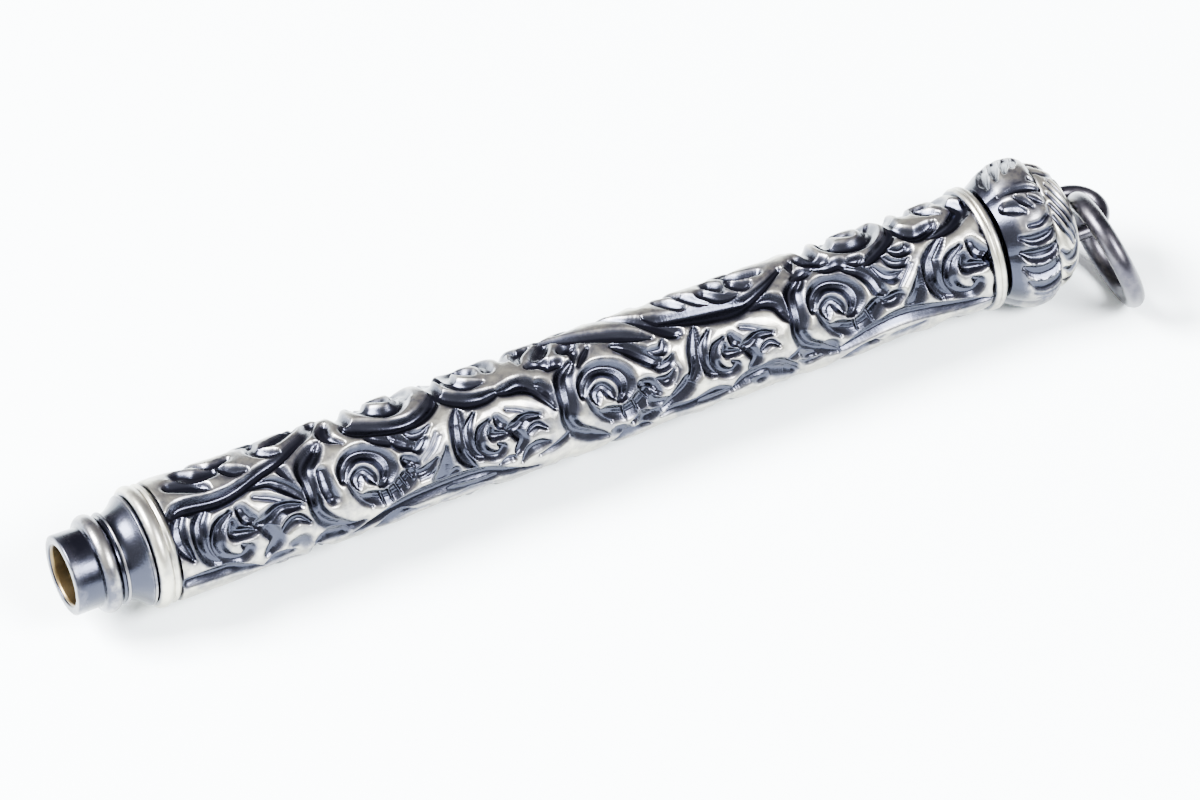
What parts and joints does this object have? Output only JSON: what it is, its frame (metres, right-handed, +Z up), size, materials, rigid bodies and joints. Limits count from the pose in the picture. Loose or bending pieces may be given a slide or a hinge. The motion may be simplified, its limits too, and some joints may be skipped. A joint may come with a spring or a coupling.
{
  "type": "needle case",
  "caption": "Chased silver slide-action needle case: pulling the lobed head drives a tube of needles out of the open stepped nozzle; an eye and ring hang it from a chain.",
  "frame": {"origin": "under the middle of the whole object, on the surface that it lies on", "axes": "+X along the case from the nozzle to the pull head, +Z up, -Y the side that the ring leans to"},
  "size_m": [0.0754, 0.0128, 0.0098],
  "materials": {
    "chased_silver": "chased silver, polished on the high places and oxidised nearly black in the hollows",
    "plain_silver": "plain silver wire, grey with tarnish",
    "brass": "turned brass",
    "spring_bronze": "spring bronze strip",
    "steel": "polished steel",
    "cork": "cork"
  },
  "bodies": {
    "case": {"case_sleeve": "chased_silver", "lining_tube": "brass", "nozzle": "chased_silver", "nozzle_bush": "brass", "front_collar": "chased_silver", "rear_collar": "chased_silver", "cam_tube": "brass", "rear_bush": "brass", "friction_spring": "spring_bronze", "key_screw": "steel"},
    "pull_head": {"pull_tube": "chased_silver", "head_shell": "chased_silver", "head_core": "brass", "head_pin": "steel", "end_boss": "chased_silver", "eye": "plain_silver"},
    "ring": {"jump_ring": "plain_silver"},
    "needle_carrier": {"needle_tube": "brass", "needle_guide": "brass", "cork_pad": "cork", "carrier_block": "brass", "carrier_screw": "steel", "needle_1": "steel", "needle_2": "steel", "needle_3": "steel", "needle_4": "steel"},
    "follower": {"follower_collar": "steel", "follower_pin": "steel"}
  },
  "joints": [
    {"name": "head_pull", "type": "slide", "parent": "case", "child": "pull_head", "axis": [1, 0, 0], "range_m": [0, 0.02]},
    {"name": "carrier_slide", "type": "slide", "parent": "case", "child": "needle_carrier", "axis": [1, 0, 0], "range_m": [-0.02, 0]},
    {"name": "follower_turn", "type": "hinge", "parent": "needle_carrier", "child": "follower", "pos_m": [0.0193, 0.00131, 0.00491], "axis": [1, 0, 0], "range_deg": [-120.5, 0]},
    {"name": "ring_swing", "type": "hinge", "parent": "pull_head", "child": "ring", "pos_m": [0.0353, 0.00131, 0.00491], "axis": [0, 0, 1], "range_deg": [0, 90]}
  ],
  "couplings": [
    {"joint": "carrier_slide", "follows": "head_pull", "ratio": -1},
    {"joint": "follower_turn", "follows": "head_pull", "rad_per_m": -104.72}
  ]
}
